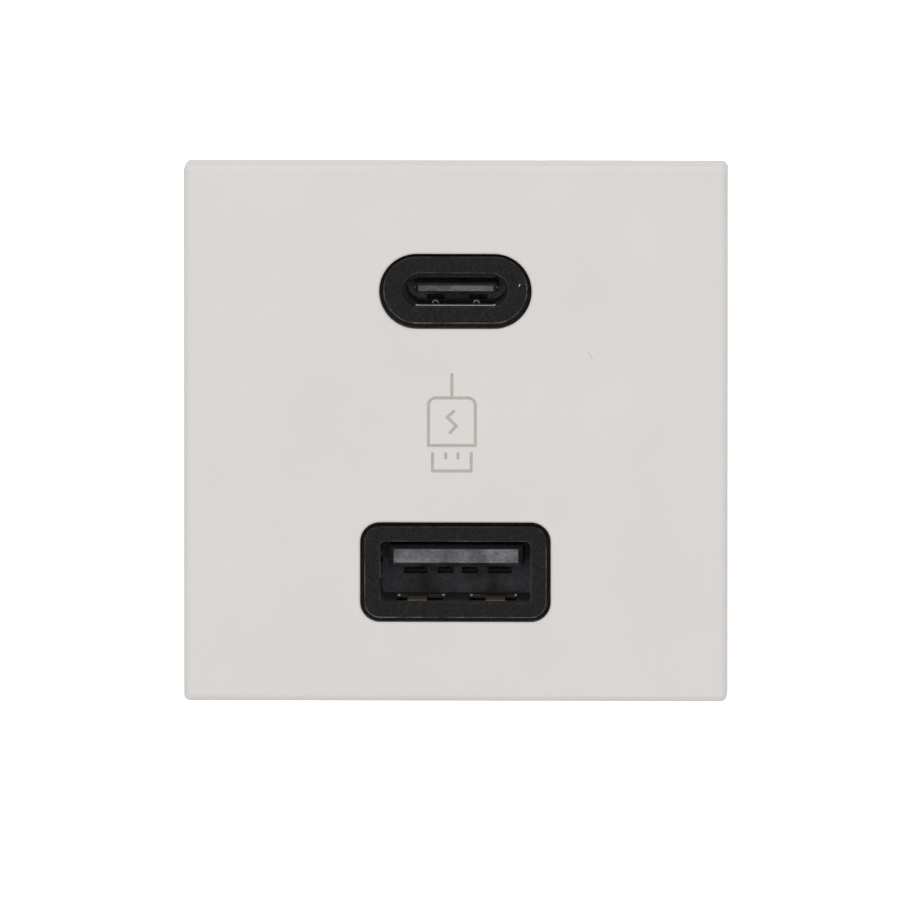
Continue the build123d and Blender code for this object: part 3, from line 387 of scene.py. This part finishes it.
def inside_box(material, box):
    """1 inside a box of the part's frame, or its twin on the left, and 0 outside them."""
    low, high = (Vector(corner) for corner in box)
    offset = vector_maths(material, "SUBTRACT", right_side(material), (low + high) / 2)
    away = vector_maths(material, "ABSOLUTE", offset)
    past = axes_of(material, vector_maths(material, "SUBTRACT", away, (high - low) / 2))
    furthest = past["X"]
    for axis in ("Y", "Z"):
        furthest = maths(material, "MAXIMUM", furthest, past[axis])
    return maths(material, "LESS_THAN", furthest, 0.0)


def along_line(material, mark, depth):
    """1 near a straight mark on a surface at that depth, and 0 away from it."""
    (start_x, start_z), (end_x, end_z), half_width = mark
    start = Vector((start_x * MM, depth, start_z * MM))
    run = Vector((end_x * MM, depth, end_z * MM)) - start
    offset = vector_maths(material, "SUBTRACT", part_place(material), start)
    share = vector_maths(material, "DOT_PRODUCT", offset, run / run.length_squared)
    nearest = vector_maths(material, "SCALE", run, scale=fade(material, share, low=0.0, high=1.0))
    distance = vector_maths(material, "DISTANCE", offset, nearest)
    edge = half_width * MM
    return spread(material, distance, low=1.0, high=0.0, start=edge / 2, end=edge)


def bevel_highlight(material):
    """Strength of the painted bevel highlight: 0 where a surface faces straight to the front, more where
    it leans up and 1 where it leans down.
    """
    coordinates = add_node(material, "ShaderNodeTexCoord")
    normal = axes_of(material, coordinates.outputs["Normal"])
    leans = spread(material, normal["Y"], start=-0.97, end=-0.9)
    # The painted highlight is stronger on bevels that lean down and weaker on those that lean up
    light_by_facing = spread(material, normal["Z"], low=1.0, high=0.2, start=-0.7, end=0.7)
    return product(material, leans, light_by_facing)


def blend_colour(material, factor, first, second):
    """First colour where the factor is 0 and second where it is 1; each is a colour or an output."""
    node = add_node(material, "ShaderNodeMix", data_type="RGBA")
    join(material, factor, node.inputs["Factor"])
    for place, colour in zip(mix_inputs, (first, second)):
        value = (*colour, 1.0) if isinstance(colour, tuple) else colour
        fill(material, node.inputs[place], value)
    return node.outputs[mix_output]


def layered(material, colour, layers):
    """The colour under layers of others, each with the mask that it shows by."""
    for mask, layer in layers:
        colour = blend_colour(material, mask, colour, layer)
    return colour


def painted(material, colour, zones):
    """The colour with others painted over it, each inside its box."""
    return layered(material, colour, [(inside_box(material, box), paint) for box, paint in zones])


def tinted(colour, factor):
    """A plain colour made darker or lighter."""
    return tuple(factor * part for part in colour)


def shaded(material, colour, factor):
    """An output's colour made darker or lighter by another output."""
    return vector_maths(material, "SCALE", colour, scale=factor)


def uneven(material, colour, darkest, lightest, size_mm, detail):
    """A plain colour clouded between a darker and a lighter tint of itself."""
    clouds = spread(material, noise(material, size_mm, detail))
    return blend_colour(material, clouds, tinted(colour, darkest), tinted(colour, lightest))


def bump(material, height, strength, depth_mm):
    """A fine relief on the surface."""
    node = add_node(material, "ShaderNodeBump")
    node.inputs["Strength"].default_value = strength
    node.inputs["Distance"].default_value = depth_mm * MM
    join(material, height, node.inputs["Height"])
    feed(material, "Normal", node.outputs["Normal"])


def textured(material, grain, smoothest, roughest, strength, depth_mm):
    """Uneven gloss and a fine relief, both from one grain."""
    feed(material, "Roughness", spread(material, grain, smoothest, roughest))
    bump(material, grain, strength, depth_mm)


def cover_plastic():
    """Pale warm grey moulding: fine texture, faint clouding, a few specks in the resin and a hairline."""
    material = new_material("cover_plastic", cover_colours["plain"], roughness=0.46, specular=0.35)
    clouds = spread(material, noise(material, size_mm=9.0, detail=3.0))
    colour = blend_colour(material, clouds, cover_colours["darker"], cover_colours["lighter"])
    resin = specks(material, spacing_mm=4.6, radius_mm=0.16, share=0.16)
    layers = [(fade(material, resin, low=0.0, high=0.3), cover_colours["speck"])]
    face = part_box("front_cover")[0].y
    for mark in hairline:
        layers.append((along_line(material, mark, face), cover_colours["hairline"]))
    feed(material, "Base Color", layered(material, colour, layers))
    grain = noise(material, size_mm=0.14, detail=3.0)
    textured(material, grain, smoothest=0.42, roughest=0.52, strength=0.12, depth_mm=0.01)
    return material


def collar_edge_highlights(material):
    """Painted highlights on the bevels round the collars and their mouths, patchy along their length."""
    low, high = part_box("case_front")
    front = (low.y - margin, low.y + bevel_reach)
    bevels = inside_box(material, box_of(from_middle(high.x), front, (low.z, high.z)))
    # The bevels' painted highlight is patchy along them and weaker round the mouths
    patchy_painted_light = spread(material, noise(material, size_mm=1.3, detail=6.0), low=0.1, start=0.35, end=0.65)
    highlight_strength = product(material, bevels, bevel_highlight(material), patchy_painted_light)
    for shell in ("usb_a_shell", "usb_c_shell"):
        shell_low, shell_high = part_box(shell)
        upright = (shell_low.z - mouth_reach, shell_high.z + mouth_reach)
        mouth = inside_box(material, box_of(from_middle(shell_high.x + mouth_reach), front, upright))
        highlight_strength = product(material, highlight_strength, fade(material, mouth, low=1.0, high=mouth_highlight_share))
    return highlight_strength


def black_plastic():
    """Black moulding: fine texture, uneven gloss, lint and dust, gaps painted lighter with painted bounce
    light from the pale cover, and painted highlights on the collar edges.
    """
    material = new_material("case_black", case_colours["plain"], roughness=0.55, specular=0.08)
    low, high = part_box("case_front")
    gap_bounce_light = box_of(from_middle(high.x), (low.y + bevel_reach, low.y + gap_depth), (low.z, high.z))
    base = uneven(material, case_colours["plain"], darkest=0.5, lightest=1.5, size_mm=0.35, detail=8.0)
    # The gaps are painted lighter: painted bounce light from the pale cover
    base = painted(material, base, [(gap_bounce_light, case_colours["gap_bounce_light"])])
    base = blend_colour(material, collar_edge_highlights(material), base, case_colours["edge_highlight"])
    mottle = spread(material, noise(material, size_mm=0.12, detail=3.0), low=0.45, high=1.55)
    lint = spread(material, noise(material, size_mm=0.14), start=0.6, end=0.74)
    dust = specks(material, spacing_mm=0.45, radius_mm=0.05, share=0.25)
    layers = [
        (lint, case_colours["lint"]),
        (fade(material, dust, low=0.0, high=0.4), case_colours["dust"]),
        (along_line(material, scratch, low.y), case_colours["scratch"]),
        (along_line(material, fleck, low.y), case_colours["fleck"]),
    ]
    feed(material, "Base Color", layered(material, shaded(material, base, mottle), layers))
    grain = noise(material, size_mm=0.1, detail=3.0)
    textured(material, grain, smoothest=0.48, roughest=0.62, strength=0.25, depth_mm=0.012)
    return material


def moulded(name, colour, roughness, grain_mm=0.12, specular=0.35):
    """Plain moulded plastic with a fine grain and slightly uneven colour."""
    material = new_material(name, colour, roughness, specular=specular)
    base = uneven(material, colour, darkest=0.95, lightest=1.05, size_mm=0.9, detail=3.0)
    feed(material, "Base Color", base)
    grain = noise(material, grain_mm)
    gloss = {"smoothest": roughness - 0.06, "roughest": roughness + 0.08}
    textured(material, grain, **gloss, strength=0.2, depth_mm=0.01)
    return material


def insulator_zones(material, node, smudges):
    """Boxes of an insulator and their colours: smudged body with its own tone towards the sides, pockets
    in painted shade, painted light on the top, the wall's face in the top band, and painted light on the
    pale tip.
    """
    look = insulator_looks[node]
    low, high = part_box(node)
    across = from_middle(high.x)
    wall = low.y + look["wall"]
    upper = (high.z - look["top"], high.z)
    whole = box_of(
        from_middle(high.x + margin),
        (low.y - margin, high.y + margin),
        (low.z - margin, high.z + margin),
    )
    # The pockets are painted near-black: painted shade
    hollow = box_of(across, (wall + hollow_start, high.y), (low.z, low.z + look["hollow_top"]))
    # The top is painted lighter: painted light in its shade
    top = box_of(across, (low.y + tip_reach, low.y + look["top_end"]), upper)
    # The wall's face in the top band takes its own tone of that painted light
    ledge = box_of(across, at_cut(wall), upper)
    # The tip's front is painted pale: painted light
    tip = box_of(across, (low.y - margin, low.y + tip_reach), (low.z, high.z))
    smudged = blend_colour(material, smudges, look["dark"], look["worn"])
    # The body takes another tone towards the sides
    body = blend_colour(material, towards_sides(material, *side_tone_reach), smudged, look["side_tone"])
    patchy_painted_light = blend_colour(material, smudges, *(tinted(look["tip_painted_light"], tint) for tint in tip_light_tints))
    return [
        (whole, body),
        (hollow, pocket_shade_black),
        (top, look["top_painted_light"]),
        (ledge, look["ledge"]),
        (tip, patchy_painted_light),
    ]


def usb_plastic():
    """Dark glass-filled moulding: smudged tongues with painted light on their pale fronts and tops and
    painted shade in their pockets.
    """
    material = moulded("usb_plastic", (0.04, 0.041, 0.043), roughness=0.5, specular=0.08)
    smudges = spread(material, noise(material, size_mm=1.8, detail=8.0), start=0.38, end=0.62)
    base = base_colour(material)
    for node in insulator_looks:
        base = painted(material, base, insulator_zones(material, node, smudges))
    scuffs = noise(material, size_mm=0.14, detail=4.0, stretch=(0.6, 1, 1))
    feed(material, "Base Color", shaded(material, base, spread(material, scuffs, low=0.7, high=1.3)))
    return material


def metal(name, colour, roughness, along=(1, 1, 1), metallic=1.0):
    """Plated or bare metal: fine lines along the drawing direction and a light uneven tarnish."""
    material = new_material(name, colour, roughness, metallic)
    base = uneven(material, colour, darkest=0.85, lightest=1.0, size_mm=1.6, detail=4.0)
    feed(material, "Base Color", base)
    lines = noise(material, size_mm=0.09, stretch=along)
    gloss = {"smoothest": roughness - 0.07, "roughest": roughness + 0.1}
    textured(material, lines, **gloss, strength=0.15, depth_mm=0.006)
    return material


def usb_c_rim():
    """The box of the USB-C shell's front edge."""
    low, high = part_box("usb_c_shell")
    return box_of(from_middle(high.x), at_cut(low.y), (low.z, high.z))


def usb_c_shell_zones():
    """Boxes of the USB-C shell and their colours: rim in painted shade, lower lip as a painted highlight,
    floor, dust and painted highlights on the arches.
    """
    low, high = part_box("usb_c_shell")
    across = from_middle(lip_half)
    bottom = (low.z, low.z + shell_floor_height)
    # The lower lip gets a painted highlight
    lip_highlight = box_of(across, at_cut(low.y), (low.z + lip_start, low.z + lip_height))
    floor = box_of(across, (low.y + cut_reach, low.y + shell_dust_start), bottom)
    dust = box_of(across, (low.y + shell_dust_start, low.y + shell_floor_end), bottom)
    # The arches' cut ends get a painted highlight
    arches = box_of(across, at_cut(low.y + arch_start), (low.z, high.z))
    return [
        (usb_c_rim(), shell_colours["rim"]),
        (lip_highlight, shell_colours["lip_highlight"]),
        (floor, shell_colours["floor"]),
        (dust, shell_colours["floor_dust"]),
        (arches, shell_colours["arch_highlight"]),
    ]


def usb_a_shell_zones():
    """Boxes of the USB-A shell and their colours: rear cuts of the windows in painted shade, their painted
    glints, and the fingers.
    """
    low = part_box("usb_a_shell")[0]
    rear = at_cut(low.y + window_rear)
    window_cut_shade = box_of(window_ends, rear, (low.z - cut_reach, low.z + sheet + cut_reach))
    zones = [(window_cut_shade, shell_colours["window_cut_shade"])]
    for start in (window_ends[0], window_ends[1] - glint_width):
        glint = box_of((start, start + glint_width), rear, (low.z + sheet / 2, low.z + sheet))
        zones.append((glint, shell_colours["glint"]))
    fingers = box_of(
        (finger_middle - finger_half, finger_middle + finger_half),
        (low.y + finger_start, low.y + finger_end),
        (low.z, low.z + finger_high),
    )
    zones.append((fingers, shell_colours["finger"]))
    return zones


def shell_steel():
    """Dark plated shells: painted shade and painted highlights on cut edges, a dusty floor and warm bare
    fingers in the lower USB-A wall.
    """
    plating = shell_colours["plating"]
    material = metal("shell_steel", plating, roughness=0.5, along=drawn, metallic=plating_metallic)
    zones = usb_c_shell_zones() + usb_a_shell_zones()
    feed(material, "Base Color", painted(material, base_colour(material), zones))
    # The front edge is made a near-black full mirror: painted shade
    bare = inside_box(material, usb_c_rim())
    feed(material, "Metallic", fade(material, bare, low=plating_metallic, high=1.0))
    return material


def contact_gold():
    """Contacts gold plated where a plug touches them, and painted near-black behind as painted shade."""
    material = metal("contact_gold", (0.16, 0.125, 0.07), roughness=0.4, along=drawn)
    # Painted shade: the contacts behind the gold are near-black
    contact_shade_black = (0.006, 0.0055, 0.005)
    zones = []
    for node in ("usb_a_contacts", "usb_c_contacts"):
        low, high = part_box(node)
        behind = (low.y + plating_length, high.y + margin)
        upright = (low.z - margin, high.z + margin)
        zones.append((box_of(from_middle(high.x + margin), behind, upright), contact_shade_black))
    feed(material, "Base Color", painted(material, base_colour(material), zones))
    return material


def solder_mask():
    """Dark green board: tracks that show lighter through a glossy mask."""
    material = new_material("solder_mask", (0.01, 0.02, 0.013), roughness=0.4, specular=0.3)
    bare = (0.006, 0.014, 0.009)
    track = (0.013, 0.027, 0.017)
    streaks = noise(material, size_mm=1.4, detail=0.0, stretch=(1, 1, 0.25))
    tracks = spread(material, streaks, start=0.5, end=0.54)
    feed(material, "Base Color", blend_colour(material, tracks, bare, track))
    bump(material, tracks, strength=0.3, depth_mm=0.02)
    return material


def wound_tape():
    """Amber tape wound in turns, with bands of painted shade and painted light along them."""
    material = new_material("wound_tape", (0.75, 0.55, 0.08), roughness=0.25)
    # Painted shade and painted light in bands across the turns
    shaded_band = (0.62, 0.43, 0.05)
    lit_band = (0.8, 0.6, 0.1)
    turns = spread(material, noise(material, size_mm=0.8, stretch=(0.05, 1, 0.05)))
    feed(material, "Base Color", blend_colour(material, turns, shaded_band, lit_band))
    bump(material, turns, strength=0.4, depth_mm=0.03)
    return material


def enamelled_wire():
    """Copper wire in close turns under clear enamel, with painted shade in the grooves and painted
    highlights on the crowns.
    """
    material = new_material("enamelled_wire", (0.6, 0.24, 0.1), roughness=0.3, metallic=1.0)
    # Painted shade in the grooves between turns and painted highlight on their crowns
    groove_shade = (0.3, 0.1, 0.04)
    crown_highlight = (0.66, 0.28, 0.12)
    wave = add_node(material, "ShaderNodeTexWave", bands_direction="Y")
    wave.inputs["Scale"].default_value = 2 * pi / (wave_rate * wire_pitch)
    join(material, part_place(material), wave.inputs["Vector"])
    turns = wave.outputs["Fac"]
    feed(material, "Base Color", blend_colour(material, turns, groove_shade, crown_highlight))
    bump(material, turns, strength=0.5, depth_mm=0.05)
    return material


def sign_ink():
    """Pale brown-grey printing ink, a little uneven in cover."""
    material = new_material("sign_ink", (0.47, 0.415, 0.38), roughness=0.6, specular=0.3)
    thin = (0.52, 0.465, 0.43)
    full = (0.425, 0.37, 0.335)
    cover = spread(material, noise(material, size_mm=0.18, detail=3.0))
    feed(material, "Base Color", blend_colour(material, cover, thin, full))
    bump(material, cover, strength=0.1, depth_mm=0.005)
    return material


def slot_materials():
    """One material for each slot of the record."""
    return {
        "cover": cover_plastic(),
        "case": black_plastic(),
        "block": moulded("block_grey", (0.16, 0.17, 0.17), roughness=0.45),
        "usb_plastic": usb_plastic(),
        "shell_steel": shell_steel(),
        "plate_steel": metal("plate_steel", (0.1, 0.1, 0.1), roughness=0.42, along=drawn),
        "contact_gold": contact_gold(),
        "board": solder_mask(),
        "header": moulded("header_black", (0.02, 0.02, 0.02), roughness=0.5),
        "pin_tin": metal("pin_tin", (0.7, 0.68, 0.62), roughness=0.3, along=drawn),
        "screw_steel": metal("screw_steel", (0.5, 0.5, 0.52), roughness=0.3),
        "terminal_steel": metal("terminal_steel", (0.55, 0.54, 0.5), roughness=0.32),
        "cage_brass": metal("cage_brass", (0.72, 0.52, 0.24), roughness=0.34, along=rolled),
        "bar_copper": metal("bar_copper", (0.75, 0.42, 0.28), roughness=0.32, along=rolled),
        "ferrite": moulded("ferrite", (0.05, 0.05, 0.055), roughness=0.7, grain_mm=0.3),
        "bobbin": moulded("bobbin_black", (0.03, 0.03, 0.03), roughness=0.5),
        "tape": wound_tape(),
        "copper_wire": enamelled_wire(),
        "can": moulded("can_sleeve", (0.05, 0.06, 0.09), roughness=0.3, grain_mm=0.5),
        "fuse": moulded("fuse_brown", (0.2, 0.09, 0.05), roughness=0.35, grain_mm=0.4),
        "surge": moulded("surge_yellow", (0.7, 0.5, 0.1), roughness=0.35, grain_mm=0.4),
        "safety": moulded("safety_blue", (0.05, 0.16, 0.45), roughness=0.3, grain_mm=0.6),
        "chip": moulded("chip_black", (0.025, 0.025, 0.027), roughness=0.55),
    }


def dress_nodes(materials):
    """Give each node the material of the slot that the record names for it."""
    for part in frame["record"]["subparts"]:
        for place in frame["nodes"][part["node"]].material_slots:
            place.material = materials[part["material_slot"]]


def arc(middle, radius, start, end):
    """Points along an arc in the face's plane, angles in quarter turns."""
    turns = [start + (end - start) * step / corner_steps for step in range(corner_steps + 1)]
    return [(middle[0] + radius * cos(t * pi / 2), middle[1] + radius * sin(t * pi / 2)) for t in turns]


def sign_lines():
    """The sign's strokes as (points, closed): cable, plug body, bolt, plug end and its two pins."""
    left, right = sign_middle - sign_body_side, sign_middle + sign_body_side
    shoulder = sign_body[1] - sign_body_corner
    body = [(left, sign_body[0]), (right, sign_body[0])]
    body += arc((right - sign_body_corner, shoulder), sign_body_corner, 0, 1)
    body += arc((left + sign_body_corner, shoulder), sign_body_corner, 1, 2)
    plug = [
        (sign_middle - sign_plug_side, sign_plug[1]),
        (sign_middle - sign_plug_side, sign_plug[0]),
        (sign_middle + sign_plug_side, sign_plug[0]),
        (sign_middle + sign_plug_side, sign_plug[1]),
    ]
    lines = [
        ([(sign_middle, sign_cable[0]), (sign_middle, sign_cable[1])], False),
        (body, True),
        ([(sign_middle + x, z) for x, z in sign_bolt], False),
        (plug, False),
    ]
    for side in (-1, 1):
        pin = sign_middle + side * sign_pin_side
        lines.append(([(pin, sign_plug[1]), (pin, sign_pin_end)], False))
    return lines


def stroke_sides(points, closed, width):
    """Left and right outline points of a stroke with mitred corners."""
    points = [Vector(p) for p in points]
    count = len(points)
    left, right = [], []
    for i, point in enumerate(points):
        before = points[i - 1] if closed or i > 0 else None
        after = points[(i + 1) % count] if closed or i < count - 1 else None
        runs = [(b - a).normalized() for a, b in ((before, point), (point, after)) if a and b]
        normals = [Vector((-run.y, run.x)) for run in runs]
        mitre = sum(normals, Vector((0, 0))).normalized()
        reach = width / 2 / mitre.dot(normals[0])
        left.append(point + mitre * reach)
        right.append(point - mitre * reach)
    return left, right


def charging_sign(material):
    """The printed sign: flat strokes that lie on the cover's face."""
    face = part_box("front_cover")[0].y - sign_lift
    vertices, faces = [], []
    for points, closed in sign_lines():
        left, right = stroke_sides(points, closed, sign_stroke)
        first = len(vertices)
        for a, b in zip(left, right):
            vertices += [(a.x * MM, face, a.y * MM), (b.x * MM, face, b.y * MM)]
        count = len(points)
        for i in range(count if closed else count - 1):
            j = (i + 1) % count
            faces.append((first + 2 * i, first + 2 * j, first + 2 * j + 1, first + 2 * i + 1))
    mesh = bpy.data.meshes.new("charging_sign")
    mesh.from_pydata(vertices, [], faces)
    mesh.materials.append(material)
    sign = bpy.data.objects.new("charging_sign", mesh)
    bpy.context.scene.collection.objects.link(sign)
    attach(sign, "module")


def seen_directly(owner):
    """1 for rays from the camera, mirrors and glass, 0 for light on surfaces."""
    path = add_node(owner, "ShaderNodeLightPath")
    seen = path.outputs["Is Camera Ray"]
    for ray in ("Is Glossy Ray", "Is Transmission Ray"):
        seen = maths(owner, "MAXIMUM", seen, path.outputs[ray])
    return seen


def studio_world():
    """White surroundings where they are seen, and an even ambient light on surfaces."""
    world = bpy.data.worlds.new("studio")
    world.use_nodes = True
    background = world.node_tree.nodes["Background"]
    background.inputs["Color"].default_value = white
    level = fade(world, seen_directly(world), low=ambient_level, high=1.0)
    join(world, level, background.inputs["Strength"])
    bpy.context.scene.world = world


def floor_material():
    """Matt floor, lifted towards white where it is seen, with a soft shadow, and clear from below."""
    material = new_material("floor", floor_grey, floor_roughness)
    shader_input(material, "Emission Color").default_value = white
    glow = fade(material, seen_directly(material), low=0.0, high=floor_glow)
    feed(material, "Emission Strength", glow)
    nodes = material.node_tree.nodes
    geometry = add_node(material, "ShaderNodeNewGeometry")
    clear = add_node(material, "ShaderNodeBsdfTransparent")
    surface = add_node(material, "ShaderNodeMixShader")
    side, upper, lower = surface.inputs
    join(material, geometry.outputs["Backfacing"], side)
    join(material, nodes["Principled BSDF"].outputs["BSDF"], upper)
    join(material, clear.outputs["BSDF"], lower)
    join(material, surface.outputs["Shader"], nodes["Material Output"].inputs["Surface"])
    return material


def studio_floor():
    """Large plain floor, below the module that its mount holds upright."""
    height = cad_box[0][2] - floor_drop
    half = floor_side / 2
    corners = [(x * half, y * half, height) for x, y in ((-1, -1), (1, -1), (1, 1), (-1, 1))]
    mesh = bpy.data.meshes.new("floor")
    mesh.from_pydata(corners, [], [(0, 1, 2, 3)])
    mesh.materials.append(floor_material())
    floor = bpy.data.objects.new("floor", mesh)
    bpy.context.scene.collection.objects.link(floor)


def area_light(name, place, side, watts):
    """A square softbox that faces the part's origin."""
    light = bpy.data.lights.new(name, "AREA")
    light.shape = "SQUARE"
    light.size = side
    light.energy = watts
    lamp = bpy.data.objects.new(name, light)
    lamp.location = place
    lamp.rotation_euler = (-Vector(place)).to_track_quat("-Z", "Y").to_euler()
    bpy.context.scene.collection.objects.link(lamp)


def photo_camera():
    """Camera at the photograph's angle, aimed at the point in the middle of its frame."""
    back = Vector((
        sin(camera_azimuth) * cos(camera_elevation),
        -cos(camera_azimuth) * cos(camera_elevation),
        sin(camera_elevation),
    ))
    right = Vector((cos(camera_azimuth), sin(camera_azimuth), 0))
    up = back.cross(right)
    lens = bpy.data.cameras.new("camera")
    face_distance = camera_distance + cad_box[0][1]
    lens.lens = lens.sensor_width * face_distance / (pixels_across / pixels_per_mm * MM)
    lens.clip_start, lens.clip_end = camera_clip
    camera = bpy.data.objects.new("camera", lens)
    place = right * aim_right + up * aim_up + back * camera_distance
    turn = Matrix((right, up, back)).transposed().to_4x4()
    camera.matrix_world = Matrix.Translation(place) @ turn
    bpy.context.scene.collection.objects.link(camera)
    bpy.context.scene.camera = camera


bpy.context.scene.view_settings.view_transform = "Standard"
dress_nodes(slot_materials())
charging_sign(sign_ink())
studio_world()
studio_floor()
for name, softbox in softboxes.items():
    area_light(name, **softbox)
photo_camera()
